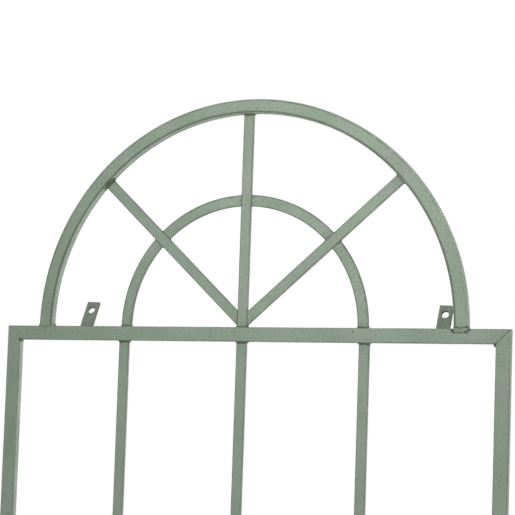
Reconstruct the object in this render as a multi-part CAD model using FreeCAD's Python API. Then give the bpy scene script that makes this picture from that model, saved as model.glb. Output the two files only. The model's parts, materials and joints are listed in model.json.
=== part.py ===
import FreeCAD, Part
import math
import os

# Welded steel wall trellis with a fanlight top, in millimetres.
# X runs along the width, Y from front to back, Z up.
# The origin is the centre of the bottom rail's underside, halfway through its depth.

# Overall size
overall_width = 740.0
overall_height = 1800.0

# Rectangular tube of the frame and the outer arch
tube_face = 20.0
tube_depth = 12.0
tube_wall = 1.5
tube_corner = 1.5

# Outer arch, a half circle standing on the top rail
arch_radius = 316.0
arch_shift = -4.0

# Flat bar of the spokes, the uprights and the cross bars
bar_width = 15.0
bar_thick = 5.0
bar_pitch = 177.5
lattice_shift = -10.0
cross_rows = 3

# Spokes, which fan out from one point just above the top rail
hub_rise = 5.5
left_spoke_lean = 46.8
right_spoke_lean = 48.7

# Inner ring, thinner flat bar in four pieces between the spokes
ring_radius = 183.0
ring_width = 16.0
ring_thick = 3.0

# Wall tabs, strips welded behind the top rail and bent back, each set in from the arch's inner face
tab_width = 19.0
tab_thick = 4.0
tab_foot = 17.0
tab_bend = 3.0
left_tab_lean = 28.0
right_tab_lean = 21.0
tab_skew = 2.0
tab_hole = 10.0
tab_hole_edge = 13.5
left_tab_rise = 41.3
right_tab_rise = 35.0
left_tab_inset = 48.0
right_tab_inset = 18.0

# Weld beads: leg of a corner bead, edge left at its thin end, and height of a bead on a flush face
weld_leg = 3.0
weld_edge = 0.3
weld_proud = 0.8
corner_weld_leg = 4.0
tab_weld_run = 14.0

# Values that follow from those above
half_width = overall_width / 2
half_depth = tube_depth / 2
rail_top = overall_height - arch_radius
rail_under = rail_top - tube_face
post_inside = half_width - tube_face
arch_inside = arch_radius - tube_face
left_tab_place = arch_shift - arch_inside + left_tab_inset
right_tab_place = arch_shift + arch_inside - right_tab_inset
tube_flat = half_depth - tube_corner
bar_places = [lattice_shift + step * bar_pitch for step in (-1, 0, 1)]
hub = FreeCAD.Vector(lattice_shift, 0, rail_top + hub_rise)
arch_centre = FreeCAD.Vector(arch_shift, 0, rail_top)
ring_centre = FreeCAD.Vector(lattice_shift, 0, rail_top)
reach = overall_height
up = FreeCAD.Vector(0, 0, 1)
back = FreeCAD.Vector(0, 1, 0)


def save(node, shape):
    shape.exportStep("parts/" + node + ".step")


def block(x_range, y_range, z_range):
    size = [high - low for low, high in (x_range, y_range, z_range)]
    return Part.makeBox(*size, FreeCAD.Vector(x_range[0], y_range[0], z_range[0]))


def plate(outline, half):
    """A flat shape from an outline of (x, z) points, centred on the mid plane."""
    points = [FreeCAD.Vector(x, -half, z) for x, z in outline]
    face = Part.Face(Part.makePolygon(points + points[:1]))
    return face.extrude(back * (2 * half))


def disc(centre, radius, half):
    return Part.makeCylinder(radius, 2 * half, centre - back * half, back)


def rounded_section(width, depth, corner):
    """Rectangle with round corners, flat in the XY plane about the origin."""
    solid = block((-width / 2, width / 2), (-depth / 2, depth / 2), (0, 1))
    if corner > 0:
        upright = [edge for edge in solid.Edges if abs(edge.tangentAt(edge.FirstParameter).z) > 0.5]
        solid = solid.makeFillet(corner, upright)
    return min(solid.Faces, key=lambda face: face.CenterOfMass.z)


def tube_section(hollow):
    outer = rounded_section(tube_face, tube_depth, tube_corner)
    if not hollow:
        return outer
    bore_corner = max(tube_corner - tube_wall, 0)
    bore = rounded_section(tube_face - 2 * tube_wall, tube_depth - 2 * tube_wall, bore_corner)
    return outer.cut(bore).Faces[0]


def post(side, hollow=True):
    """Side post, mitred at both ends; side is -1 on the left and 1 on the right."""
    tube = tube_section(hollow).extrude(up * rail_top)
    tube.translate(FreeCAD.Vector(side * (half_width - tube_face / 2), 0, 0))
    out = side * (half_width + tube_face)
    inner = side * (post_inside - tube_face)
    mitre = [(out, -tube_face), (out, rail_top + tube_face),
             (inner, rail_under - tube_face), (inner, 2 * tube_face)]
    return tube.common(plate(mitre, tube_depth))


def rail(outer_z, inner_z, hollow=True):
    """Top or bottom rail, mitred at both ends, from its outer face to its inner face."""
    tube = tube_section(hollow).extrude(up * overall_width)
    tube.rotate(FreeCAD.Vector(0, 0, 0), back, 90)
    tube.translate(FreeCAD.Vector(-half_width, 0, (outer_z + inner_z) / 2))
    spread = half_width + tube_face
    beyond = outer_z + (outer_z - inner_z)
    within = inner_z - (outer_z - inner_z)
    narrow = post_inside - tube_face
    mitre = [(-spread, beyond), (spread, beyond), (narrow, within), (-narrow, within)]
    return tube.common(plate(mitre, tube_depth))


def outer_arch(hollow=True):
    section = tube_section(hollow)
    section.translate(arch_centre + FreeCAD.Vector(arch_radius - tube_face / 2, 0, 0))
    return section.revolve(arch_centre, -back, 180)


def fan_opening():
    """The half disc inside the arch and above the top rail."""
    above = block((-half_width, half_width), (-tube_depth, tube_depth), (rail_top, overall_height))
    return disc(arch_centre, arch_inside, tube_depth).common(above)


def blade(lean, half):
    """Endless spoke through the hub, leaning to the right by lean degrees."""
    shape = block((-bar_width / 2, bar_width / 2), (-half, half), (-bar_width, arch_radius))
    shape.rotate(FreeCAD.Vector(0, 0, 0), back, lean)
    shape.translate(hub)
    return shape


def centre_spoke():
    return blade(0, bar_thick / 2).common(fan_opening())


def side_spoke(side):
    """Diagonal spoke, its foot cut upright against the centre spoke's edge."""
    lean = left_spoke_lean if side < 0 else right_spoke_lean
    edge = lattice_shift + side * bar_width / 2
    far = edge + side * reach
    own_side = block((min(edge, far), max(edge, far)), (-tube_depth, tube_depth), (0, overall_height))
    return blade(side * lean, bar_thick / 2).common(fan_opening()).common(own_side)


def ring_pieces():
    """The ring's four pieces from left to right, each cut to the spokes beside it."""
    ring = disc(ring_centre, ring_radius, ring_thick / 2)
    ring = ring.cut(disc(ring_centre, ring_radius - ring_width, ring_thick))
    ring = ring.common(fan_opening())
    for lean in (-left_spoke_lean, 0, right_spoke_lean):
        ring = ring.cut(blade(lean, tube_depth))
    return sorted(ring.Solids, key=lambda piece: piece.CenterOfMass.x)


def upright(place):
    width = (place - bar_width / 2, place + bar_width / 2)
    return block(width, (-bar_thick / 2, bar_thick / 2), (tube_face, rail_under))


def pane_ranges():
    """The clear spans along X between the posts and the uprights."""
    edges = [-post_inside]
    for place in bar_places:
        edges += [place - bar_width / 2, place + bar_width / 2]
    edges.append(post_inside)
    return list(zip(edges[0::2], edges[1::2]))


def row_heights():
    """Middle height of each row of cross bars, from the bottom up."""
    clear = rail_under - tube_face
    pane = (clear - cross_rows * bar_width) / (cross_rows + 1)
    return [tube_face + (row + 1) * (pane + bar_width) - bar_width / 2 for row in range(cross_rows)]


def cross_bar(span, height):
    z_range = (height - bar_width / 2, height + bar_width / 2)
    return block(span, (-bar_thick / 2, bar_thick / 2), z_range)


def wall_tab(place, rise, lean_degrees):
    """Strip with its foot flat on the rail's back and its free end bent back, with a screw hole."""
    lean = math.radians(lean_degrees)
    outside = tab_bend + tab_thick
    start = -outside * math.tan(lean / 2)
    bend_y = half_depth + outside

    def on_bend(radius, angle):
        return FreeCAD.Vector(0, bend_y - radius * math.cos(angle), start + radius * math.sin(angle))

    along = FreeCAD.Vector(0, math.sin(lean), math.cos(lean))
    front = FreeCAD.Vector(0, -math.cos(lean), math.sin(lean))
    corner = FreeCAD.Vector(0, half_depth, 0)
    tip = corner + along * rise
    foot = FreeCAD.Vector(0, half_depth, -tab_foot)
    through = FreeCAD.Vector(0, tab_thick, 0)
    edges = [
        Part.LineSegment(foot, on_bend(outside, 0)).toShape(),
        Part.Arc(on_bend(outside, 0), on_bend(outside, lean / 2), on_bend(outside, lean)).toShape(),
        Part.LineSegment(on_bend(outside, lean), tip).toShape(),
        Part.LineSegment(tip, tip - front * tab_thick).toShape(),
        Part.LineSegment(tip - front * tab_thick, on_bend(tab_bend, lean)).toShape(),
        Part.Arc(on_bend(tab_bend, lean), on_bend(tab_bend, lean / 2), on_bend(tab_bend, 0)).toShape(),
        Part.LineSegment(on_bend(tab_bend, 0), foot + through).toShape(),
        Part.LineSegment(foot + through, foot).toShape(),
    ]
    strip = Part.Face(Part.Wire(edges)).extrude(FreeCAD.Vector(tab_width, 0, 0))
    strip.translate(FreeCAD.Vector(-tab_width / 2, 0, 0))
    hole_mouth = corner + along * (rise - tab_hole_edge) + front * tab_thick
    strip = strip.cut(Part.makeCylinder(tab_hole / 2, 3 * tab_thick, hole_mouth, -front))
    return turned(strip, place)


def turned(shape, place):
    """Turns a tab's shape a little in the frame's plane and puts it behind the top rail."""
    shape.rotate(FreeCAD.Vector(0, 0, 0), back, tab_skew)
    shape.translate(FreeCAD.Vector(place, 0, rail_top))
    return shape


def collar(width, thick, thick_leg, base, lean):
    """Bead all round a bar's end: base is where the bar meets its support, lean its direction."""
    foot_x = width / 2 + weld_leg
    foot_y = thick / 2 + thick_leg
    neck_x = width / 2 + weld_edge
    neck_y = thick / 2 + min(weld_edge, thick_leg)
    sunk = -weld_leg
    cone = Part.makeWedge(-foot_x, -foot_y, 0, -neck_y, -neck_x, foot_x, foot_y, weld_leg, neck_y, neck_x)
    skirt = block((-foot_x, foot_x), (-foot_y, foot_y), (sunk, 0))
    shape = cone.fuse(skirt)
    shape.rotate(FreeCAD.Vector(0, 0, 0), back, lean)
    shape.translate(base)
    return shape


def corner_welds():
    """Beads in the four inner corners of the frame."""
    beads = []
    for side in (-1, 1):
        x = side * post_inside
        for z, way in ((rail_under, -1), (tube_face, 1)):
            outline = [(x, z), (x - side * corner_weld_leg, z), (x, z + way * corner_weld_leg)]
            beads.append(plate(outline, tube_flat))
    return beads


def arch_foot_welds():
    """Beads round both feet of the arch: two at the sides, and one in each groove front and back."""
    members = outer_arch(False).fuse(rail(rail_top, rail_under, False))
    beads = []
    for side in (-1, 1):
        middle = arch_shift + side * (arch_radius - tube_face / 2)
        for way in (-1, 1):
            x = middle + way * tube_face / 2
            outline = [(middle, rail_top), (x + way * weld_leg, rail_top), (x, rail_top + weld_leg),
                       (middle, rail_top + weld_leg)]
            beads.append(plate(outline, tube_flat).cut(members))
            y_ends = (way * tube_flat, way * (half_depth + weld_proud))
            groove = block((middle - tube_face / 2 + tube_corner, middle + tube_face / 2 - tube_corner),
                           (min(y_ends), max(y_ends)),
                           (rail_top - tube_corner, rail_top + tube_corner))
            beads.append(groove.cut(members))
    return beads


def spoke_tip_welds():
    """Beads round the spokes' upper ends, inside the arch."""
    beads = []
    leg = tube_flat - bar_thick / 2
    for lean in (-left_spoke_lean, 0, right_spoke_lean):
        turn = math.radians(lean)
        ray = FreeCAD.Vector(math.sin(turn), 0, math.cos(turn))
        offset = hub - arch_centre
        along = ray.dot(offset)
        length = -along + math.sqrt(along * along + arch_inside ** 2 - offset.dot(offset))
        bead = collar(bar_width, bar_thick, leg, hub + ray * length, lean + 180)
        beads.append(bead.common(fan_opening()).cut(blade(lean, bar_thick / 2)))
    return beads


def hub_welds():
    """Beads where the side spokes meet the centre spoke, and under them on the rail."""
    beads = []
    members = centre_spoke().fuse([side_spoke(-1), side_spoke(1)])
    for side, lean in ((-1, left_spoke_lean), (1, right_spoke_lean)):
        turn = math.radians(lean)
        edge = lattice_shift + side * bar_width / 2
        middle = hub.z + bar_width / 2 / math.tan(turn)
        half = bar_width / 2 / math.sin(turn)
        low = max(middle - half, rail_top)
        high = middle + half
        run = side * weld_leg
        upper = [(edge, high), (edge, high + 2 * weld_leg), (edge + run, high + weld_leg / math.tan(turn))]
        lower = [(edge, rail_top), (edge, low), (edge + run, low + weld_leg / math.tan(turn)),
                 (edge + run, rail_top)]
        beads.append(plate(upper, bar_thick / 2).cut(members))
        beads.append(plate(lower, bar_thick / 2).cut(members))
        for way in (-1, 1):
            y_ends = (way * bar_thick / 2, way * (bar_thick / 2 + weld_proud))
            seam = (edge - weld_leg / 2, edge + weld_leg / 2)
            beads.append(block(seam, (min(y_ends), max(y_ends)), (low, high)))
    return beads


def ring_welds():
    """Beads round the ring's ends, against the spokes and on the top rail."""
    leg = (bar_thick - ring_thick) / 2
    middle = ring_radius - ring_width / 2
    ring = disc(ring_centre, ring_radius, ring_thick / 2)
    ring = ring.cut(disc(ring_centre, ring_radius - ring_width, ring_thick))
    leans = (-left_spoke_lean, 0, right_spoke_lean)
    spokes = centre_spoke().fuse([blade(-left_spoke_lean, bar_thick), blade(right_spoke_lean, bar_thick)])
    beads = []
    for side in (-1, 1):
        foot = ring_centre + FreeCAD.Vector(side * middle, 0, 0)
        beads.append(collar(ring_width, ring_thick, leg, foot, 0).common(fan_opening()).cut(ring))
    for lean in leans:
        turn = math.radians(lean)
        ray = FreeCAD.Vector(math.sin(turn), 0, math.cos(turn))
        across = FreeCAD.Vector(math.cos(turn), 0, -math.sin(turn))
        offset = hub - ring_centre
        along = ray.dot(offset)
        length = -along + math.sqrt(along * along + middle ** 2 - offset.dot(offset))
        for way in (-1, 1):
            base = hub + ray * length + across * (way * bar_width / 2)
            bead = collar(ring_width, ring_thick, leg, base, lean + way * 90)
            beads.append(bead.cut(ring).cut(spokes).cut(blade(lean, tube_depth)))
    return beads


def bar_end_welds():
    """Beads round both ends of the three uprights."""
    leg = tube_flat - bar_thick / 2
    clear = block((-half_width, half_width), (-tube_depth, tube_depth), (tube_face, rail_under))
    beads = []
    for place in bar_places:
        for z, lean in ((tube_face, 0), (rail_under, 180)):
            bead = collar(bar_width, bar_thick, leg, FreeCAD.Vector(place, 0, z), lean)
            beads.append(bead.common(clear).cut(upright(place)))
    return beads


def cross_bar_welds():
    """Corner beads above and below each end of every cross bar."""
    beads = []
    for height in row_heights():
        for span in pane_ranges():
            for x, side in ((span[0], 1), (span[1], -1)):
                for way in (-1, 1):
                    z = height + way * bar_width / 2
                    outline = [(x, z), (x + side * weld_leg, z), (x, z + way * weld_leg)]
                    beads.append(plate(outline, bar_thick / 2))
    return beads


def tab_welds():
    """Corner beads down both edges of each tab's foot, on the rail's back."""
    beads = []
    for place in (left_tab_place, right_tab_place):
        for side in (-1, 1):
            x = side * tab_width / 2
            points = [FreeCAD.Vector(x, half_depth, -tab_foot),
                      FreeCAD.Vector(x + side * weld_leg, half_depth, -tab_foot),
                      FreeCAD.Vector(x, half_depth + tab_thick, -tab_foot)]
            bead = Part.Face(Part.makePolygon(points + points[:1])).extrude(up * tab_weld_run)
            beads.append(turned(bead, place))
    return beads


os.makedirs("parts", exist_ok=True)

save("left_post", post(-1))
save("right_post", post(1))
save("top_rail", rail(rail_top, rail_under))
save("bottom_rail", rail(0, tube_face))
save("outer_arch", outer_arch())
save("centre_spoke", centre_spoke())
save("left_spoke", side_spoke(-1))
save("right_spoke", side_spoke(1))

ring_names = ("ring_left_lower", "ring_left_upper", "ring_right_upper", "ring_right_lower")
for node, piece in zip(ring_names, ring_pieces()):
    save(node, piece)

for node, place in zip(("left_upright", "centre_upright", "right_upright"), bar_places):
    save(node, upright(place))

pane_names = ("left_outer", "left_inner", "right_inner", "right_outer")
for row, height in enumerate(row_heights(), 1):
    for side, span in zip(pane_names, pane_ranges()):
        save("cross_bar_" + str(row) + "_" + side, cross_bar(span, height))

save("left_wall_tab", wall_tab(left_tab_place, left_tab_rise, left_tab_lean))
save("right_wall_tab", wall_tab(right_tab_place, right_tab_rise, right_tab_lean))

save("corner_welds", Part.makeCompound(corner_welds()))
save("arch_foot_welds", Part.makeCompound(arch_foot_welds()))
save("spoke_tip_welds", Part.makeCompound(spoke_tip_welds()))
save("hub_welds", Part.makeCompound(hub_welds()))
save("ring_welds", Part.makeCompound(ring_welds()))
save("bar_end_welds", Part.makeCompound(bar_end_welds()))
save("cross_bar_welds", Part.makeCompound(cross_bar_welds()))
save("tab_welds", Part.makeCompound(tab_welds()))
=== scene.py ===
import json
import math

import bmesh
import bpy
from mathutils import Matrix, Vector, noise
from mathutils.kdtree import KDTree


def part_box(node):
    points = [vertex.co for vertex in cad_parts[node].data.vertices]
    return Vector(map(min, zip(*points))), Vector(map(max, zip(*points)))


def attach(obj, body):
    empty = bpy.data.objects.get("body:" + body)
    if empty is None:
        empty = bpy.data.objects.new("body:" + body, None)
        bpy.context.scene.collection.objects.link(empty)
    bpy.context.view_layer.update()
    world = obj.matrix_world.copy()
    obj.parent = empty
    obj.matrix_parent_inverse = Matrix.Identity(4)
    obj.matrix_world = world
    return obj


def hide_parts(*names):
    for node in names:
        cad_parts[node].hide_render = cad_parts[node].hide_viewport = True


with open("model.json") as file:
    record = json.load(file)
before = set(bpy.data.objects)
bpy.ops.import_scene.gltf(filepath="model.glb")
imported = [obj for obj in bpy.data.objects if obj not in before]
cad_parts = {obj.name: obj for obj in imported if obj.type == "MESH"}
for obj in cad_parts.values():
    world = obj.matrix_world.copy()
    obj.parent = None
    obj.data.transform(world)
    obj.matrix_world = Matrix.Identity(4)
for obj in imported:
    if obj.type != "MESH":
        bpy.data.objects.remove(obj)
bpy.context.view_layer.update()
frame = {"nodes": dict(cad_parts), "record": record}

mm = 0.001
rightward = Vector((1, 0, 0))
backward = Vector((0, 1, 0))
up = Vector((0, 0, 1))
print("frame loaded:", len(frame["nodes"]), "nodes")

# Places that every piece is built from, read off the frame
railLow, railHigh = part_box("top_rail")
footLow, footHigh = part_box("bottom_rail")
archLow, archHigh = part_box("outer_arch")
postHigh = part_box("right_post")[1]
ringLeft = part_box("ring_left_lower")[0]
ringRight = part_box("ring_right_lower")[1]
spokeLow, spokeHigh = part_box("centre_spoke")
tubeFace = railHigh.z - railLow.z
tubeDepth = railHigh.y - railLow.y
railTop = railHigh.z
railUnder = railLow.z
barWidth = spokeHigh.x - spokeLow.x
barThick = spokeHigh.y - spokeLow.y
fanMiddle = (spokeLow.x + spokeHigh.x) / 2

# How the fan is set out: spoke leans in degrees from upright, ring stock and hub height
fan = {
    "leftLean": -46.8,
    "rightLean": 48.7,
    "hubRise": 5.5 * mm,
    "ringWidth": 16 * mm,
}
archCentre = Vector(((archLow.x + archHigh.x) / 2, 0, railTop))
archRadius = (archHigh.x - archLow.x) / 2
archInside = archRadius - tubeFace
ringCentre = Vector(((ringLeft.x + ringRight.x) / 2, 0, railTop))
ringRadius = (ringRight.x - ringLeft.x) / 2
ringMiddle = ringRadius - fan["ringWidth"] / 2
hub = Vector((fanMiddle, 0, railTop + fan["hubRise"]))

# Where each piece, and each kind of unevenness on it, draws its noise from
seeding = {
    "shift": (3.1, 7.7, 1.3),
    "first": 1.3,
    "perNode": 3.7,
    "perBead": 0.71,
    "wave": 5,
    "rub": 9,
    "grit": 2,
}


def noiseAt(point, size, seed):
    # smooth noise from -1 to 1 with lumps about size across
    return noise.noise(point / size + Vector([seed * shift for shift in seeding["shift"]]))


def halfNoise(point, size, seed):
    return min(1, max(0, 0.5 + 0.5 * noiseAt(point, size, seed)))


def sunkBy(point, skin, seed):
    # hand-worked metal: small dents plus slow waves, always below the true face
    dent = halfNoise(point, skin["dentSize"], seed) * skin["dentDepth"]
    wave = halfNoise(point, skin["waveSize"], seed + seeding["wave"]) * skin["waveDepth"]
    return dent + wave


def emptyStore():
    return {"points": [], "faces": [], "flat": [], "rub": [], "soot": [], "spatter": []}


slotOf = {part["node"]: part["material_slot"] for part in frame["record"]["subparts"]}


def storeToPiece(name, store, material, node):
    # one mesh object that stands for one node of the frame and rides with it
    mesh = bpy.data.meshes.new(name)
    mesh.from_pydata(store["points"], [], store["faces"])
    tool = bmesh.new()
    tool.from_mesh(mesh)
    bmesh.ops.recalc_face_normals(tool, faces=tool.faces)
    tool.to_mesh(mesh)
    tool.free()
    flats = set(store["flat"])
    mesh.polygons.foreach_set("use_smooth", [face.index not in flats for face in mesh.polygons])
    for key in ("rub", "soot", "spatter"):
        mesh.attributes.new(key, "FLOAT", "POINT").data.foreach_set("value", store[key])
    mesh.materials.append(material)
    piece = bpy.data.objects.new(name, mesh)
    bpy.context.scene.collection.objects.link(piece)
    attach(piece, "root")
    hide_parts(node)


# Runs: place(run, offset) gives the point that far along a centreline and that far across it
def straightRun(start, along):
    across = Vector((along.z, 0, -along.x))

    def place(run, offset):
        return start + along * run + across * offset

    return place, across


def arcRun(centre, radius):
    # over the top from the left foot to the right one; a positive offset is towards the centre
    def place(run, offset):
        angle = math.pi - run / radius
        return centre + Vector((math.cos(angle), 0, math.sin(angle))) * (radius - offset)

    return place


def levelCut(distance):
    return lambda offset: distance


def uprightCut(start, along, across, x):
    # where a leaning bar meets the upright plane at x
    return lambda offset: (x - start.x - across.x * offset) / along.x


def roundCut(start, along, across, centre, radius):
    # where a bar meets the inside of a round hoop
    def cut(offset):
        gap = start + across * offset - centre
        ahead = gap.dot(along)
        return -ahead + math.sqrt(ahead * ahead - gap.dot(gap) + radius * radius)

    return cut


def spokeDirection(lean):
    turn = math.radians(lean)
    return Vector((math.sin(turn), 0, math.cos(turn)))


def ringCut(lean, side):
    # where the ring meets the left (-1) or right (1) side of the spoke with this lean
    along = spokeDirection(lean)
    across = Vector((along.z, 0, -along.x))
    turn = math.atan2(across.z, across.x)
    reach = side * barWidth / 2 - (ringCentre - hub).dot(across)

    def cut(offset):
        angle = turn + math.acos(reach / (ringMiddle - offset))
        return (math.pi - angle) * ringMiddle

    return cut


# The corners of a bar's section: side across, side in depth, and the angle at which each begins to turn
sectionCorners = ((-1, -1, 180), (1, -1, 270), (1, 1, 0), (-1, 1, 90))


def sectionLoop(width, depth, corner, shape):
    # outline of a bar as (across, depth, outward across, outward depth, edge darkness); the edge darkness is
    # a dark line of rubbed glaze that also paints the shade on edges and narrow faces turned from the light.
    # It lies its set distance in from where each broad face begins to turn, or round the corner where that
    # distance is below 0
    halfAcross = width / 2 - corner
    halfDeep = depth / 2 - corner
    counts = (shape["faceSteps"], shape["sideSteps"]) * 2
    loop = []

    # strength of the dark edge line, rubbed glaze mixed with painted shade, set apart for the inner and outer
    # sides
    def rubAndShadeAt(away, offset):
        strength = shape["outerRub"] if offset < 0 else shape["innerRub"]
        return strength * math.exp(-abs(away) / shape["rubReach"])

    for index, (across, deep, first) in enumerate(sectionCorners):
        middle = (across * halfAcross, deep * halfDeep)
        for step in range(shape["cornerSteps"] + 1):
            angle = math.radians(first + 90 * step / shape["cornerSteps"])
            out = (math.cos(angle), math.sin(angle))
            turned = math.acos(min(1, abs(out[1]))) * corner
            rub = rubAndShadeAt(turned + shape["rubPlace"], middle[0])
            loop.append((middle[0] + corner * out[0], middle[1] + corner * out[1], out[0], out[1], rub))
        nextAcross, nextDeep, _ = sectionCorners[(index + 1) % 4]
        end = (nextAcross * halfAcross + corner * out[0], nextDeep * halfDeep + corner * out[1])
        start = loop[-1]
        span = math.dist(start[:2], end)
        onBroadFace = index % 2 == 0
        for step in range(1, counts[index]):
            share = 0.5 - 0.5 * math.cos(math.pi * step / counts[index])  # finer towards the corners
            near = min(share, 1 - share) * span
            offset = start[0] + (end[0] - start[0]) * share
            if onBroadFace:
                rub = rubAndShadeAt(near - shape["rubPlace"], offset)
            else:
                rub = shape["sideRub"] * rubAndShadeAt(near + corner * math.pi / 2 + shape["rubPlace"], offset)
            loop.append((offset, start[1] + (end[1] - start[1]) * share, out[0], out[1], rub))
    return loop


def addMember(store, bar, skin, seed):
    # a bar or tube skinned from its section, with a fine chamfer at both cut ends
    place, startCut, endCut = bar["place"], bar["start"], bar["end"]
    loop = sectionLoop(bar["width"], bar["depth"], skin["corner"], skin)
    length = endCut(0) - startCut(0)
    chamfer = skin["endChamfer"]
    count = max(2, math.ceil(length / skin["ringStep"]))
    edge = [0, chamfer / length, (chamfer + skin["seamReach"]) / length]
    inner = [step / count for step in range(count + 1) if edge[2] < step / count < 1 - edge[2]]
    steps = edge + inner + [1 - share for share in reversed(edge)]
    first = len(store["points"])
    for index, share in enumerate(steps):
        inset = chamfer if index in (0, len(steps) - 1) else 0
        seamHere = bar["startSeam" if index * 2 < len(steps) else "endSeam"]
        for point in loop:
            offset = point[0] - point[2] * inset
            run = startCut(offset) + (endCut(offset) - startCut(offset)) * share
            across = (place(run, offset + mm) - place(run, offset)).normalized()
            outward = across * point[2] + backward * point[3]
            spot = place(run, offset) + backward * (point[1] - point[3] * inset)
            spot = spot - outward * sunkBy(spot, skin, seed)
            # the dark edge line here is rubbed glaze plus painted shade on edges turned from the light, swung
            # by slow noise; near welds the joint darkness is dark glaze plus painted shade in the joints, and
            # at cut ends it is the dark seam line
            swing = skin["rubSwing"] * noiseAt(spot, skin["rubSwingSize"], seed + seeding["rub"])
            seam = min(share, 1 - share) * length
            soot, spatter = sootAndShadeAt(spot)
            store["points"].append(spot)
            store["rub"].append(point[4] * (1 + swing))
            store["soot"].append(max(soot, seamHere * math.exp(-seam / skin["seamReach"])))
            store["spatter"].append(spatter)
    size = len(loop)
    for ring in range(len(steps) - 1):
        low = first + ring * size
        for index in range(size):
            following = (index + 1) % size
            store["faces"].append((low + index, low + following, low + size + following, low + size + index))
    for low in (first, first + (len(steps) - 1) * size):
        store["flat"].append(len(store["faces"]))
        store["faces"].append(tuple(range(low, low + size)))


def addBead(store, path, upward, bead, closed, seed):
    # a run of weld: path holds (point, radius, outward); the bead ripples along it like a row of coins
    # and is darkest where it meets the metal, dark glaze there plus painted shade in the joint, with its
    # outward-facing crown left lighter
    sides = bead["sides"]
    first = len(store["points"])
    travelled = 0
    total = sum((path[i + 1][0] - path[i][0]).length for i in range(len(path) - 1))
    for index, (point, radius, outward) in enumerate(path):
        before = path[index - 1][0] if closed or index else point
        after = path[(index + 1) % len(path)][0] if closed or index < len(path) - 1 else point
        tangent = (after - before).normalized()
        side = tangent.cross(upward).normalized()
        lift = side.cross(tangent)
        if index:
            travelled += (point - path[index - 1][0]).length
        ripple = abs(math.sin(math.pi * travelled / bead["pitch"] + seed))
        lump = 1 + bead["lump"] * noiseAt(point, bead["lumpSize"], seed)
        swell = radius * lump * (1 - bead["ripple"] * (1 - ripple))
        if not closed:
            ahead = min(travelled, total - travelled) / radius
            swell *= math.sqrt(max(bead["endFloor"], 1 - max(0, 1 - ahead) ** 2))
        for step in range(sides):
            angle = 2 * math.pi * step / sides
            out = side * math.cos(angle) * bead["flat"] + lift * math.sin(angle)
            grit = noiseAt(point + out * radius, bead["gritSize"], seed + seeding["grit"])
            store["points"].append(point + out * swell * (1 + bead["grit"] * grit))
            # the crown that faces out of the joint is painted lighter and the root darker, painted shade in
            # the joint on top of the dark glaze; the ripples' hollows are darker too
            facing = (side * math.cos(angle) + lift * math.sin(angle)).dot(outward)
            crown = min(1, max(0, (facing - bead["crownFrom"]) / bead["crownSpan"]))
            cleanAndLit = (1 - bead["crownClean"] * crown) * (1 - bead["rippleClean"] * ripple)
            store["rub"].append(0.0)
            store["soot"].append(bead["soot"] * cleanAndLit)
            store["spatter"].append(0.0)
    rings = len(path) if closed else len(path) - 1
    for ring in range(rings):
        low = first + ring * sides
        high = first + (ring + 1) % len(path) * sides
        for step in range(sides):
            following = (step + 1) % sides
            store["faces"].append((low + step, low + following, high + following, high + step))
    if not closed:
        for low in (first, first + (len(path) - 1) * sides):
            store["faces"].append(tuple(range(low, low + sides)))


def settled(path, upward, bead):
    # the bead sags by its shift and wanders up and down along its run
    laid = []
    for point, radius, outward in path:
        wander = bead["wander"] * noiseAt(point, bead["wanderSize"], bead["wanderSeed"])
        laid.append((point + upward * (bead["shift"] + wander), radius, outward))
    return laid


def sampledLine(start, end, outward, bead):
    count = max(3, math.ceil((end - start).length / bead["step"]))
    return [(start.lerp(end, index / count), bead["sideRadius"], outward) for index in range(count + 1)]


def collarPath(bar, cut, bead):
    # the loop where a bar's end meets what it is welded to
    corner = bead["corner"]
    halfAcross = bar["width"] / 2 - corner - bead["inset"]
    halfDeep = bar["depth"] / 2 - corner - bead["inset"]
    path = []
    for index, (across, deep, first) in enumerate(sectionCorners):
        for step in range(bead["cornerSteps"] + 1):
            angle = math.radians(first + 90 * step / bead["cornerSteps"])
            out = (math.cos(angle), math.sin(angle))
            path.append((across * halfAcross + corner * out[0], deep * halfDeep + corner * out[1], *out))
        nextAcross, nextDeep, _ = sectionCorners[(index + 1) % 4]
        end = (nextAcross * halfAcross + corner * out[0], nextDeep * halfDeep + corner * out[1])
        start = path[-1]
        count = max(1, round(math.dist(start[:2], end) / bead["step"]))
        for step in range(1, count):
            share = step / count
            acrossHere = start[0] + (end[0] - start[0]) * share
            deepHere = start[1] + (end[1] - start[1]) * share
            path.append((acrossHere, deepHere, *out))
    loop = []
    for offset, deep, outAcross, outDeep in path:
        radius = bead["sideRadius"] * outAcross ** 2 + bead["faceRadius"] * outDeep ** 2
        point = bar["place"](cut(offset), offset)
        across = (bar["place"](cut(offset), offset + mm) - point).normalized()
        loop.append((point + backward * deep, radius, across * outAcross + backward * outDeep))
    return loop


# How dark the seam is where a member is cut and welded
seamDark = {
    "tube": 0.7,
    "bar": 0.2,
    "groundFlush": 0.12,  # the top left corner, ground before painting
}


def mitreCuts(clear, slant):
    # 45 degree cuts, half a tube beyond both ends of the clear length
    def startCut(offset):
        return -tubeFace / 2 + slant * offset

    def endCut(offset):
        return clear + tubeFace / 2 - slant * offset

    return {"start": startCut, "end": endCut}


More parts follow.
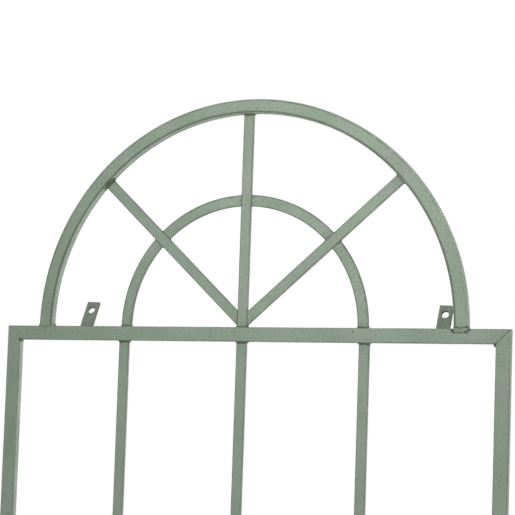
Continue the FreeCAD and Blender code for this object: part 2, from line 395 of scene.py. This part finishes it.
# The bars and tubes, each with its run, its two cuts and its section
def makeBars():
    tube = {"width": tubeFace, "depth": tubeDepth, "startSeam": seamDark["tube"], "endSeam": seamDark["tube"]}
    flat = {"width": barWidth, "depth": barThick, "startSeam": seamDark["bar"], "endSeam": seamDark["bar"]}
    bars = {}

    for node, side in (("left_post", -1), ("right_post", 1)):
        place, _ = straightRun(Vector((side * (postHigh.x - tubeFace / 2), 0, footHigh.z)), up)
        bars[node] = dict(tube, place=place, **mitreCuts(railUnder - footHigh.z, -side))

    inside = postHigh.x - tubeFace
    rails = (("top_rail", railUnder, railTop, 1), ("bottom_rail", footLow.z, footHigh.z, -1))
    for node, low, high, side in rails:
        place, _ = straightRun(Vector((-inside, 0, (low + high) / 2)), rightward)
        bars[node] = dict(tube, place=place, **mitreCuts(2 * inside, side))

    middle = archRadius - tubeFace / 2
    bars["outer_arch"] = dict(tube, place=arcRun(archCentre, middle), start=levelCut(0),
                              end=levelCut(math.pi * middle))
    bars["left_post"]["endSeam"] = seamDark["groundFlush"]
    bars["top_rail"]["startSeam"] = seamDark["groundFlush"]

    spokes = (
        ("centre_spoke", 0, 0),
        ("left_spoke", fan["leftLean"], -1),
        ("right_spoke", fan["rightLean"], 1),
    )
    for node, lean, side in spokes:
        along = spokeDirection(lean)
        place, across = straightRun(hub, along)
        start = levelCut(railTop - hub.z)
        if side:
            start = uprightCut(hub, along, across, fanMiddle + side * barWidth / 2)
        end = roundCut(hub, along, across, archCentre, archInside)
        bars[node] = dict(flat, place=place, start=start, end=end, along=along)

    ringThick = ringRight.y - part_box("ring_right_lower")[0].y
    leans = (fan["leftLean"], 0, fan["rightLean"])
    starts = [levelCut(0)] + [ringCut(lean, 1) for lean in leans]
    ends = [ringCut(lean, -1) for lean in leans] + [levelCut(math.pi * ringMiddle)]
    ringNodes = ("ring_left_lower", "ring_left_upper", "ring_right_upper", "ring_right_lower")
    for node, start, end in zip(ringNodes, starts, ends):
        bars[node] = dict(flat, width=fan["ringWidth"], depth=ringThick, place=arcRun(ringCentre, ringMiddle),
                          start=start, end=end)

    for node in frame["nodes"]:
        low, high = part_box(node)
        middle = (low + high) / 2
        if node.endswith("upright"):
            place, _ = straightRun(Vector((middle.x, 0, low.z)), up)
            bars[node] = dict(flat, place=place, start=levelCut(0), end=levelCut(high.z - low.z))
        elif node.startswith("cross_bar") and not node.endswith("welds"):
            place, _ = straightRun(Vector((low.x, 0, middle.z)), rightward)
            bars[node] = dict(flat, place=place, start=levelCut(0), end=levelCut(high.x - low.x))
    return bars


# Weld beads: radii on a bar's edges and faces, how far they sag and wander, ripple pitch and depth, how dark
# the paint lies on them and how much lighter their crowns are than their roots, where dark glaze and painted
# shade lie, and how far that stain and painted shade spread onto the bars beside them
weld = {
    "sides": 8,
    "step": 0.45 * mm,
    "corner": 0.9 * mm,
    "cornerSteps": 3,
    "inset": 0,
    "sideRadius": 1.9 * mm,
    "faceRadius": 1.3 * mm,
    "flat": 1.0,  # breadth across the joint, as a share of its height
    "shift": 0,
    "wander": 0,
    "wanderSize": 8 * mm,
    "wanderSeed": 4,
    "endFloor": 0.02,  # keeps the ends of an open run from closing to a point
    "crownFrom": 0.5,  # the crown begins where a spot faces this squarely outward
    "crownSpan": 0.35,
    "crownClean": 0.3,
    "pitch": 1.7 * mm,
    "ripple": 0.28,
    "rippleClean": 0.4,
    "lump": 0.24,
    "lumpSize": 3 * mm,
    "grit": 0.1,
    "gritSize": 0.7 * mm,
    "soot": 0.8,
    "stain": 0.8,
    "reach": 1.6 * mm,
}
hubWeld = dict(weld, faceRadius=0.45 * mm, sideRadius=1.1 * mm, pitch=2.9 * mm, ripple=0.8, soot=0.85,
               stain=0.25, reach=0.5 * mm)
hubFootWeld = dict(weld, faceRadius=0.9 * mm, soot=0.95, stain=0.6, reach=0.9 * mm)
crossWeld = dict(weld, faceRadius=0.7 * mm, sideRadius=1.5 * mm, reach=0.8 * mm, stain=0.5)
ringWeld = dict(weld, faceRadius=0.5 * mm, sideRadius=1.2 * mm, soot=0.95, stain=0.4, reach=0.6 * mm)
ringFootWeld = dict(weld, faceRadius=1.0 * mm, sideRadius=1.6 * mm, reach=1.2 * mm, stain=0.6)
archWeld = dict(weld, inset=1.0 * mm, faceRadius=1.2 * mm, sideRadius=3.3 * mm, pitch=2.6 * mm, soot=0.5,
                stain=0.35, reach=1.0 * mm)
heavyArchWeld = dict(archWeld, corner=1.5 * mm, inset=0.6 * mm, faceRadius=3.3 * mm, sideRadius=3.6 * mm,
                     flat=0.36, shift=-1.3 * mm, wander=2.6 * mm, wanderSize=6 * mm, crownClean=0.95,
                     lump=0.3, lumpSize=5 * mm, ripple=0.3, pitch=8.5 * mm, grit=0.05, soot=0.85, stain=0.85,
                     reach=0.6 * mm)
tipWelds = {
    "left_spoke": dict(weld, faceRadius=2.2 * mm, sideRadius=1.6 * mm, crownClean=0.1, soot=0.9,
                       reach=2.4 * mm, stain=0.9),
    "centre_spoke": dict(weld, faceRadius=1.6 * mm, soot=0.9, reach=1.5 * mm, stain=0.85),
    "right_spoke": dict(weld, faceRadius=0.9 * mm, soot=0.95, reach=0.9 * mm, stain=0.6),
}
cornerWelds = {
    "left": dict(weld, sideRadius=2.0 * mm, soot=0.7, off=0),
    "right": dict(weld, sideRadius=4.6 * mm, crownClean=1, soot=0.45, stain=0.6, reach=0.6 * mm,
                  off=1.8 * mm),
}


def makeWeldPaths(bars):
    # every weld as (path, upward, bead, closed), listed under the node that it stands for
    welds = {}

    def collar(node, bar, end, bead, upward=up):
        path = settled(collarPath(bar, bar[end], bead), upward, bead)
        welds.setdefault(node, []).append((path, upward, bead, True))

    for node, bar in bars.items():
        if node.endswith("upright"):
            collar("bar_end_welds", bar, "start", weld)
            collar("bar_end_welds", bar, "end", weld)
        elif node == "centre_spoke":
            collar("spoke_tip_welds", bar, "end", tipWelds[node])
            collar("hub_welds", bar, "start", hubFootWeld)
        elif node.endswith("spoke"):
            collar("spoke_tip_welds", bar, "end", tipWelds[node], bar["along"])
            collar("hub_welds", bar, "start", hubWeld, rightward)
        elif node.startswith("ring"):
            for end in ("start", "end"):
                run = bar[end](0)
                tangent = (bar["place"](run + mm, 0) - bar["place"](run, 0)).normalized()
                onRail = abs(bar["place"](run, 0).z - railTop) < mm
                collar("ring_welds", bar, end, ringFootWeld if onRail else ringWeld, tangent)
        elif node.startswith("cross_bar"):
            for end in ("start", "end"):
                collar("cross_bar_welds", bar, end, crossWeld, rightward)
    collar("arch_foot_welds", bars["outer_arch"], "start", archWeld)
    collar("arch_foot_welds", bars["outer_arch"], "end", heavyArchWeld)

    corners = []
    for side, bead in ((-1, cornerWelds["left"]), (1, cornerWelds["right"])):
        deep = tubeDepth / 2 - bead["sideRadius"]
        for z in (railUnder, footHigh.z):
            outward = Vector((-side, 0, 1 if z < railUnder else -1)).normalized()
            middle = Vector((side * (postHigh.x - tubeFace), 0, z)) + outward * bead["off"]
            path = sampledLine(middle - backward * deep, middle + backward * deep, outward, bead)
            corners.append((path, up, bead, False))
    welds["corner_welds"] = corners

    edges = []
    for place in tabPlaces.values():
        for side in (-1, 1):
            across = side * tab["width"] / 2
            low = tabPoint(across, -tab["foot"], 0, place)
            high = tabPoint(across, -tab["foot"] + tab["weldRun"], 0, place)
            edges.append((sampledLine(low, high, rightward * side, weld), backward, weld, False))
    welds["tab_welds"] = edges
    return welds


# The wall tabs: a strip with a foot behind the rail and a free end bent back, each by its own lean
tab = {
    "width": 19 * mm,
    "thick": 4 * mm,
    "foot": 17 * mm,
    "bend": 3 * mm,
    "skew": math.radians(2),
    "hole": 10 * mm,
    "holeEdge": 13.5 * mm,
    "weldRun": 14 * mm,
    "bevel": 0.5 * mm,
    "bevelSteps": 2,
    "sharpFrom": math.radians(60),
    "rubReach": 1.3 * mm,
    # how much darker the paint is round the hole's rim
    "holeSoot": 0.35,
    "columns": 8,
    "footRows": 5,
    "bendRows": 3,
    "stemRows": 4,
    "holeRings": (0, 0.55, 0.85, 1),
}
# inset is measured along the rail from the inside of the arch
tabPlaces = {
    "left_wall_tab": {"side": -1, "inset": 48 * mm, "rise": 41.3 * mm, "lean": math.radians(28)},
    "right_wall_tab": {"side": 1, "inset": 18 * mm, "rise": 35 * mm, "lean": math.radians(21)},
}


def bendHalf(place):
    return (tab["bend"] + tab["thick"]) * math.tan(place["lean"] / 2)


def tabPoint(across, rise, behind, place):
    # bends a flat strip: rise is measured up its front face from the bend, behind is depth into it
    outside = tab["bend"] + tab["thick"]
    half = bendHalf(place)
    lean = place["lean"]
    if rise < -half:
        deep, height = behind, rise
    elif rise < half:
        angle = lean * (rise + half) / (2 * half)
        deep = outside - (outside - behind) * math.cos(angle)
        height = -half + (outside - behind) * math.sin(angle)
    else:
        deep = rise * math.sin(lean) + behind * math.cos(lean)
        height = rise * math.cos(lean) - behind * math.sin(lean)
    turned = Vector((across * math.cos(tab["skew"]) + height * math.sin(tab["skew"]), 0,
                     height * math.cos(tab["skew"]) - across * math.sin(tab["skew"])))
    x = archCentre.x + place["side"] * archInside - place["side"] * place["inset"]
    return turned + Vector((x, tubeDepth / 2 + deep, railTop))


def tabFlat(rise, bend):
    # the strip laid flat as (across, rise) faces: rows below and above, and a round hole in a square patch
    half = tab["width"] / 2
    holeRise = rise - tab["holeEdge"]
    columns = [-half + tab["width"] * step / tab["columns"] for step in range(tab["columns"] + 1)]
    footRows, bendRows, stemRows = tab["footRows"], tab["bendRows"], tab["stemRows"]
    below = [-tab["foot"] + (tab["foot"] - bend) * step / footRows for step in range(footRows)]
    below += [bend * step / bendRows for step in range(-bendRows, bendRows + 1)]
    span = holeRise - half - bend
    below += [bend + span * step / stemRows for step in range(1, stemRows + 1)]
    above = [holeRise + half, (holeRise + half + rise) / 2, rise]
    tool = bmesh.new()
    grid = {}
    digits = 7  # points that agree to this many places are one

    def corner(x, z):
        key = (round(x, digits), round(z, digits))
        if key not in grid:
            grid[key] = tool.verts.new((x, z, 0))
        return grid[key]

    for rows in (below, above):
        for low, high in zip(rows, rows[1:]):
            for left, right in zip(columns, columns[1:]):
                around = ((left, low), (right, low), (right, high), (left, high))
                tool.faces.new([corner(x, z) for x, z in around])
    edge = [(x, -half) for x in columns[:-1]] + [(half, x) for x in columns[:-1]]
    edge += [(-x, half) for x in columns[:-1]] + [(-half, -x) for x in columns[:-1]]
    rings = []
    for share in tab["holeRings"]:
        ring = []
        for x, z in edge:
            scale = tab["hole"] / 2 / math.hypot(x, z)
            spot = (x + (x * scale - x) * share, z + (z * scale - z) * share)
            ring.append(corner(spot[0], holeRise + spot[1]))
        rings.append(ring)
    for outer, inner in zip(rings, rings[1:]):
        for index in range(len(edge)):
            following = (index + 1) % len(edge)
            tool.faces.new((outer[index], outer[following], inner[following], inner[index]))
    return tool, holeRise


def addTab(store, place):
    # the flat strip is thickened, its edges are eased, and then it is bent
    rise = place["rise"]
    tool, holeRise = tabFlat(rise, bendHalf(place))
    bmesh.ops.recalc_face_normals(tool, faces=tool.faces)
    walls = bmesh.ops.extrude_face_region(tool, geom=list(tool.faces))
    lifted = [item for item in walls["geom"] if isinstance(item, bmesh.types.BMVert)]
    bmesh.ops.translate(tool, verts=lifted, vec=(0, 0, tab["thick"]))
    bmesh.ops.recalc_face_normals(tool, faces=tool.faces)
    sharp = [edge for edge in tool.edges if edge.calc_face_angle(0) > tab["sharpFrom"]]
    bmesh.ops.bevel(tool, geom=sharp, offset=tab["bevel"], segments=tab["bevelSteps"], profile=0.5,
                    affect="EDGES")
    first = len(store["points"])
    tool.verts.index_update()
    half = tab["width"] / 2
    for vert in tool.verts:
        across, along, behind = vert.co
        spot = tabPoint(across, along, behind, place)
        rim = abs(math.hypot(across, along - holeRise) - tab["hole"] / 2)
        near = max(0, min(half - abs(across), along + tab["foot"], rise - along, rim))
        store["points"].append(spot)
        # the tab's edges get the dark edge line, rubbed glaze plus painted shade on edges turned from the
        # light; the paint is also darker round the hole's rim
        store["rub"].append(math.exp(-near / tab["rubReach"]))
        soot, spatter = sootAndShadeAt(spot)
        store["soot"].append(max(soot, tab["holeSoot"] * math.exp(-rim / tab["rubReach"])))
        store["spatter"].append(spatter)
    for face in tool.faces:
        store["faces"].append(tuple(first + vert.index for vert in face.verts))
    tool.free()


weldStainsAndShade = []  # (radius, stain and painted shade, reach) of each spot in weldTree, which is planted below
spatterReach = 16 * mm


def sootAndShadeAt(point):
    # dark glaze and painted shade in the joint by the nearest weld, and how thickly weld spatter lies there
    _, index, distance = weldTree.find(point)
    radius, stain, reach = weldStainsAndShade[index]
    clear = max(0, distance - radius)
    return stain * math.exp(-clear / reach), math.exp(-clear / spatterReach)


def plantWeldTree(welds):
    spots = []
    for runs in welds.values():
        for path, _, bead, _ in runs:
            for point, radius, _ in path:
                spots.append(point)
                weldStainsAndShade.append((radius, bead["stain"], bead["reach"]))
    tree = KDTree(len(spots))
    for index, spot in enumerate(spots):
        tree.insert(spot, index)
    tree.balance()
    return tree


# Skins: how the metal's surface and edges are worked, and how strong and wide the dark edge line is: rubbed
# glaze with painted shade on edges and narrow faces turned from the light
tubeSkin = {
    "corner": 1.3 * mm,
    "cornerSteps": 4,
    "faceSteps": 7,
    "sideSteps": 4,
    "rubPlace": -1.4 * mm,
    "rubReach": 1.3 * mm,
    "innerRub": 1.1,
    "outerRub": 1.1,
    "sideRub": 0.8,
    "rubSwing": 0.45,
    "rubSwingSize": 70 * mm,
    "ringStep": 4.5 * mm,
    "endChamfer": 0.35 * mm,
    "seamReach": 1.1 * mm,
    "dentSize": 14 * mm,
    "dentDepth": 0.16 * mm,
    "waveSize": 90 * mm,
    "waveDepth": 0.14 * mm,
}
# the arch's inner edge, its underside at the top, carries a stronger dark edge line: painted shade as well as
# rubbed glaze
archSkin = dict(tubeSkin, corner=1.5 * mm, rubPlace=0.6 * mm, rubReach=1.5 * mm, innerRub=1.4, outerRub=0.75,
                sideRub=0.4)
barSkin = dict(tubeSkin, corner=0.7 * mm, cornerSteps=3, faceSteps=6, sideSteps=2, rubPlace=-0.2 * mm,
               rubReach=1.0 * mm, sideRub=0.35, dentDepth=0.12 * mm, waveDepth=0.12 * mm,
               endChamfer=0.25 * mm)
ringSkin = dict(barSkin, rubReach=1.5 * mm, innerRub=1.3, outerRub=1.3, sideRub=0.8)


# Material nodes
def addNode(tree, kind, **values):
    node = tree.nodes.new(kind)
    for key, value in values.items():
        setattr(node, key, value)
    return node


def feed(tree, socket, value):
    # a socket is linked, anything else is set as the value
    if isinstance(value, bpy.types.NodeSocket):
        tree.links.new(value, socket)
    else:
        socket.default_value = value


def addMath(tree, operation, first, second=0.0, third=0.0, clamp=False):
    node = addNode(tree, "ShaderNodeMath", operation=operation, use_clamp=clamp)
    for socket, value in zip(node.inputs, (first, second, third)):
        feed(tree, socket, value)
    return node.outputs[0]


def addRamp(tree, value, low, high):
    # 0 below low, 1 above high, smooth between
    node = addNode(tree, "ShaderNodeMapRange", interpolation_type="SMOOTHSTEP")
    feed(tree, node.inputs["Value"], value)
    feed(tree, node.inputs["From Min"], low)
    feed(tree, node.inputs["From Max"], high)
    return node.outputs["Result"]


def addNoise(tree, vector, scale, detail=3.0, roughness=0.55):
    node = addNode(tree, "ShaderNodeTexNoise")
    feed(tree, node.inputs["Vector"], vector)
    feed(tree, node.inputs["Scale"], scale)
    feed(tree, node.inputs["Detail"], detail)
    feed(tree, node.inputs["Roughness"], roughness)
    return node.outputs["Fac"]


def addMix(tree, factor, first, second):
    node = addNode(tree, "ShaderNodeMix", data_type="RGBA", blend_type="MIX", clamp_factor=True)
    feed(tree, node.inputs[0], factor)
    feed(tree, node.inputs[6], first)
    feed(tree, node.inputs[7], second)
    return node.outputs[2]


def newGroup(name, inputs, outputs):
    group = bpy.data.node_groups.new(name, "ShaderNodeTree")
    for label, value in inputs.items():
        socket = group.interface.new_socket(label, in_out="INPUT", socket_type="NodeSocketFloat")
        socket.default_value = value
    for label in outputs:
        group.interface.new_socket(label, in_out="OUTPUT", socket_type="NodeSocketFloat")
    return group, group.nodes.new("NodeGroupInput"), group.nodes.new("NodeGroupOutput")


# Noise scales are lumps to the metre; a pair is the noise level where a mark begins and where it is full
cloudLook = {
    "inputs": {"Cloud": 16.0, "Mottle": 210.0, "Speck": 620.0, "Speck Cover": 0.3},
    "cloudRange": (0.3, 0.7),
    "mottleRange": (0.3, 0.7),
    "warmRange": (0.5, 0.72),
    "warmShare": 0.12,  # scale of the warm patches, as a share of the mottling's
    "speckSoft": 0.08,
    "mottleHeight": 0.7,
    "speckHeight": 0.3,
}


def makePaintCloudGroup():
    # uneven brushed paint: slow clouds, finger-tip mottling, dark specks and a height for the bump
    look = cloudLook
    outputs = ("Cloud", "Mottle", "Warm", "Speck", "Height")
    group, given, result = newGroup("paintCloud", look["inputs"], outputs)
    place = addNode(group, "ShaderNodeTexCoord").outputs["Object"]
    cloud = addNoise(group, place, given.outputs["Cloud"], detail=2.0)
    mottle = addNoise(group, place, given.outputs["Mottle"], detail=4.0, roughness=0.6)
    warmScale = addMath(group, "MULTIPLY", given.outputs["Mottle"], look["warmShare"])
    warm = addNoise(group, place, warmScale, detail=4.0)
    speck = addNoise(group, place, given.outputs["Speck"], detail=2.0, roughness=0.5)
    level = addMath(group, "SUBTRACT", 1.0, given.outputs["Speck Cover"])
    full = addMath(group, "ADD", level, look["speckSoft"])
    feed(group, result.inputs["Cloud"], addRamp(group, cloud, *look["cloudRange"]))
    feed(group, result.inputs["Mottle"], addRamp(group, mottle, *look["mottleRange"]))
    feed(group, result.inputs["Warm"], addRamp(group, warm, *look["warmRange"]))
    feed(group, result.inputs["Speck"], addRamp(group, speck, level, full))
    rough = addMath(group, "MULTIPLY", mottle, look["mottleHeight"])
    grain = addMath(group, "MULTIPLY", speck, look["speckHeight"])
    feed(group, result.inputs["Height"], addMath(group, "ADD", rough, grain))
    return group


# How the dark glaze and painted shade on the edges and at the joints are broken up, and how weld spatter is
# spread
glazeAndShadeLook = {
    "inputs": {"Break Size": 150.0, "Edge Break": 0.9, "Grime Break": 0.7},
    "edgeRange": (0.35, 0.9),
    "grimeRange": (0.22, 0.7),
    "spatterScale": 430.0,
    "spatterFar": 0.76,  # noise level that shows as a speck far from a weld
    "spatterGain": -0.13,  # and how much that level changes at a weld
    "spatterSoft": 0.05,
}


def makeGlazeAndShadeGroup():
    # dark glaze left on the arrises and by the welds, with painted shade on edges turned from the light and
    # in the joints, broken up, and specks of spatter round the welds
    look = glazeAndShadeLook
    group, given, result = newGroup("edgeGlaze", look["inputs"], ("Edge", "Grime", "Spatter"))
    place = addNode(group, "ShaderNodeTexCoord").outputs["Object"]
    broken = addNoise(group, place, given.outputs["Break Size"], detail=4.0, roughness=0.65)
    swing = addMath(group, "SUBTRACT", broken, 0.5)  # either side of the noise's middle
    for output, name, span in (("Edge", "rub", look["edgeRange"]), ("Grime", "soot", look["grimeRange"])):
        attribute = addNode(group, "ShaderNodeAttribute", attribute_name=name).outputs["Fac"]
        shifted = addMath(group, "MULTIPLY_ADD", swing, given.outputs[output + " Break"], attribute)
        feed(group, result.inputs[output], addRamp(group, shifted, *span))
    near = addNode(group, "ShaderNodeAttribute", attribute_name="spatter").outputs["Fac"]
    grains = addNoise(group, place, look["spatterScale"], detail=1.0, roughness=0.5)
    level = addMath(group, "MULTIPLY_ADD", near, look["spatterGain"], look["spatterFar"])
    full = addMath(group, "ADD", level, look["spatterSoft"])
    feed(group, result.inputs["Spatter"], addRamp(group, grains, level, full))
    return group


paintCloudGroup = makePaintCloudGroup()
glazeAndShadeGroup = makeGlazeAndShadeGroup()

# Sage paint over steel, shared by every finish; each finish below changes what differs
sagePaint = {
    "colour": (0.2145, 0.277, 0.210, 1),
    "pale": (0.321, 0.4005, 0.3135, 1),
    "warm": (0.315, 0.325, 0.285, 1),
    "speckColour": (0.075, 0.090, 0.060, 1),
    # The edge colour is the dark line on the arrises, rubbed glaze with painted shade on edges turned from
    # the light; the grime colour is dark glaze by the welds with painted shade in the joints, and also
    # colours weld spatter
    "edgeColour": (0.080, 0.098, 0.066, 1),
    "grimeColour": (0.036, 0.045, 0.025, 1),
    "paleAmount": 0.8,
    "warmAmount": 0.5,
    "speckAmount": 0.5,
    "speckCover": 0.31,
    "spatterAmount": 0.6,
    "edgeAmount": 0.75,
    "grimeAmount": 0.85,
    "cloudScale": 14.0,
    "mottleScale": 330.0,
    "cloudShare": 0.35,
    "mottleShare": 0.65,
    "roughLow": 0.52,
    "roughHigh": 0.74,
    "grimeRough": 0.15,
    "bump": 0.35,
    "bumpHeight": 0.25 * mm,
}


def makePaint(name, **changes):
    look = dict(sagePaint, **changes)
    material = bpy.data.materials.new(name)
    material.use_nodes = True
    tree = material.node_tree
    shader = tree.nodes["Principled BSDF"]
    cloud = addNode(tree, "ShaderNodeGroup", node_tree=paintCloudGroup)
    cloud.inputs["Cloud"].default_value = look["cloudScale"]
    cloud.inputs["Mottle"].default_value = look["mottleScale"]
    cloud.inputs["Speck Cover"].default_value = look["speckCover"]
    glazeAndShadeNode = addNode(tree, "ShaderNodeGroup", node_tree=glazeAndShadeGroup)

    tone = addMath(tree, "MULTIPLY_ADD", cloud.outputs["Cloud"], look["cloudShare"],
                   addMath(tree, "MULTIPLY", cloud.outputs["Mottle"], look["mottleShare"]))
    colour = look["colour"]
    for mask, amount, over in (
        (tone, look["paleAmount"], look["pale"]),
        (cloud.outputs["Warm"], look["warmAmount"], look["warm"]),
        (cloud.outputs["Speck"], look["speckAmount"], look["speckColour"]),
        (glazeAndShadeNode.outputs["Spatter"], look["spatterAmount"], look["grimeColour"]),
        # painted shade: the edge layer also darkens edges and narrow faces turned from the light, and the
        # grime layer the joints by the welds, on top of the real dark glaze
        (glazeAndShadeNode.outputs["Edge"], look["edgeAmount"], look["edgeColour"]),
        (glazeAndShadeNode.outputs["Grime"], look["grimeAmount"], look["grimeColour"]),
    ):
        colour = addMix(tree, addMath(tree, "MULTIPLY", mask, amount), colour, over)
    feed(tree, shader.inputs["Base Color"], colour)

    rough = addMath(tree, "MULTIPLY_ADD", tone, look["roughLow"] - look["roughHigh"], look["roughHigh"])
    rough = addMath(tree, "MULTIPLY_ADD", glazeAndShadeNode.outputs["Grime"], look["grimeRough"], rough, clamp=True)
    feed(tree, shader.inputs["Roughness"], rough)
    bump = addNode(tree, "ShaderNodeBump")
    bump.inputs["Strength"].default_value = look["bump"]
    bump.inputs["Distance"].default_value = look["bumpHeight"]
    feed(tree, bump.inputs["Height"], cloud.outputs["Height"])
    feed(tree, shader.inputs["Normal"], bump.outputs["Normal"])
    return material


framePaint = makePaint("framePaint")
barPaint = makePaint("barPaint", mottleScale=360.0, edgeAmount=0.65)
tabPaint = makePaint("tabPaint", colour=(0.150, 0.186, 0.141, 1), pale=(0.215, 0.260, 0.203, 1),
                     edgeAmount=0.5)
weldPaint = makePaint("weldPaint", colour=(0.185, 0.234, 0.176, 1), pale=(0.285, 0.350, 0.272, 1),
                      speckCover=0.34, speckAmount=0.8, roughLow=0.6, roughHigh=0.85, mottleScale=420.0,
                      bump=0.5)
paintOf = {"frame_paint": framePaint, "bar_paint": barPaint, "tab_paint": tabPaint, "weld_paint": weldPaint}
print("finishes made:", ", ".join(paint.name for paint in paintOf.values()))

# The pieces, one for each node
bars = makeBars()
weldPaths = makeWeldPaths(bars)
weldTree = plantWeldTree(weldPaths)
seeds = {}
for index, node in enumerate(sorted(frame["nodes"])):
    seeds[node] = seeding["perNode"] * index + seeding["first"]


def pieceName(node):
    words = node.split("_")
    return words[0] + "".join(word.capitalize() for word in words[1:])


for node, bar in bars.items():
    store = emptyStore()
    skin = tubeSkin if slotOf[node] == "frame_paint" else barSkin
    if node == "outer_arch":
        skin = archSkin
    elif node.startswith("ring"):
        skin = ringSkin
    addMember(store, bar, skin, seeds[node])
    storeToPiece(pieceName(node), store, paintOf[slotOf[node]], node)
print("bars and tubes made:", len(bars))

for node, place in tabPlaces.items():
    store = emptyStore()
    addTab(store, place)
    storeToPiece(pieceName(node), store, tabPaint, node)
print("wall tabs made")

for node, runs in weldPaths.items():
    store = emptyStore()
    for index, (path, upward, bead, closed) in enumerate(runs):
        addBead(store, path, upward, bead, closed, seeds[node] + seeding["perBead"] * index)
    storeToPiece(pieceName(node), store, weldPaint, node)
print("welds made:", sum(len(runs) for runs in weldPaths.values()))

# Stage: pale floor, white surround, soft lights
stage = {
    "floorRadius": 45,
    "floorSides": 96,
    "floorColour": (0.86, 0.87, 0.86, 1),
    "floorDim": 0.97,
    "floorCloud": 1.3,
    "floorRough": 0.9,
    "surroundSeen": 1.0,
    "surroundLight": 0.05,
    "lights": (
        # name, place, aim, size, power, spread in degrees
        ("fanSoft", (0.08, -0.75, 1.83), (0.08, 0, 1.77), 0.4, 3.45, 180),
        ("sideSoft", (2.6, -0.6, 1.2), (-0.05, 0, 1.6), 1.2, 4.5, 70),
        ("backSoft", (0.2, 3.0, 1.9), (0, 0, 1.1), 1.5, 24, 120),
        ("footSoft", (0.9, -3.6, 1.3), (0, 0, 0.1), 1.2, 2.0, 30),
    ),
    "overheadPlace": (0, 0, 4),
    "overheadStrength": 2.25,
    "overheadSpread": math.radians(50),
}


def makeFloor():
    mesh = bpy.data.meshes.new("floor")
    tool = bmesh.new()
    bmesh.ops.create_circle(tool, cap_ends=True, segments=stage["floorSides"], radius=stage["floorRadius"])
    tool.to_mesh(mesh)
    tool.free()
    floor = bpy.data.objects.new("floor", mesh)
    bpy.context.scene.collection.objects.link(floor)
    material = bpy.data.materials.new("floorPaint")
    material.use_nodes = True
    tree = material.node_tree
    shader = tree.nodes["Principled BSDF"]
    place = addNode(tree, "ShaderNodeTexCoord").outputs["Object"]
    cloud = addNoise(tree, place, stage["floorCloud"])
    dim = tuple(stage["floorDim"] * part for part in stage["floorColour"][:3]) + (1,)
    feed(tree, shader.inputs["Base Color"], addMix(tree, cloud, stage["floorColour"], dim))
    shader.inputs["Roughness"].default_value = stage["floorRough"]
    mesh.materials.append(material)


def makeSurround():
    # white where it is seen, dimmer as a light
    world = bpy.data.worlds.new("surround")
    world.use_nodes = True
    tree = world.node_tree
    background = tree.nodes["Background"]
    seen = addNode(tree, "ShaderNodeLightPath").outputs["Is Camera Ray"]
    span = stage["surroundSeen"] - stage["surroundLight"]
    feed(tree, background.inputs["Strength"],
         addMath(tree, "MULTIPLY_ADD", seen, span, stage["surroundLight"]))
    background.inputs["Color"].default_value = (1, 1, 1, 1)
    bpy.context.scene.world = world


def makeLights():
    for name, place, aim, size, power, spread in stage["lights"]:
        light = bpy.data.lights.new(name, "AREA")
        light.shape = "DISK"
        light.size = size
        light.energy = power
        light.spread = math.radians(spread)
        holder = bpy.data.objects.new(name, light)
        holder.location = place
        holder.rotation_euler = (Vector(aim) - Vector(place)).to_track_quat("-Z", "Y").to_euler()
        holder.visible_camera = False
        bpy.context.scene.collection.objects.link(holder)


def makeOverhead():
    # soft light straight down, mostly for the floor
    light = bpy.data.lights.new("overhead", "SUN")
    light.energy = stage["overheadStrength"]
    light.angle = stage["overheadSpread"]
    holder = bpy.data.objects.new("overhead", light)
    holder.location = stage["overheadPlace"]
    bpy.context.scene.collection.objects.link(holder)


makeFloor()
makeSurround()
makeLights()
makeOverhead()
bpy.context.scene.view_settings.view_transform = "Standard"
print("stage made")

# The viewpoint: from the right and a little below the fan, with a long lens
view = {
    "from": Vector((1.10196, -2.70283, 1.29237)),
    "towards": Vector((0.01108, -0.006, 1.57946)),
    "roll": math.radians(1.95),
    "lens": 149.21,
    "sensor": 36,
    "clipEnd": 200,
}


def makeCamera():
    lens = bpy.data.cameras.new("viewpoint")
    lens.lens = view["lens"]
    lens.sensor_width = view["sensor"]
    lens.clip_end = view["clipEnd"]
    holder = bpy.data.objects.new("viewpoint", lens)
    ahead = (view["towards"] - view["from"]).normalized()
    right = ahead.cross(up).normalized()
    above = right.cross(ahead)
    turned = right * math.cos(view["roll"]) + above * math.sin(view["roll"])
    upright = above * math.cos(view["roll"]) - right * math.sin(view["roll"])
    matrix = Matrix((turned, upright, -ahead)).transposed().to_4x4()
    matrix.translation = view["from"]
    holder.matrix_world = matrix
    bpy.context.scene.collection.objects.link(holder)
    bpy.context.scene.camera = holder


makeCamera()
print("viewpoint set")
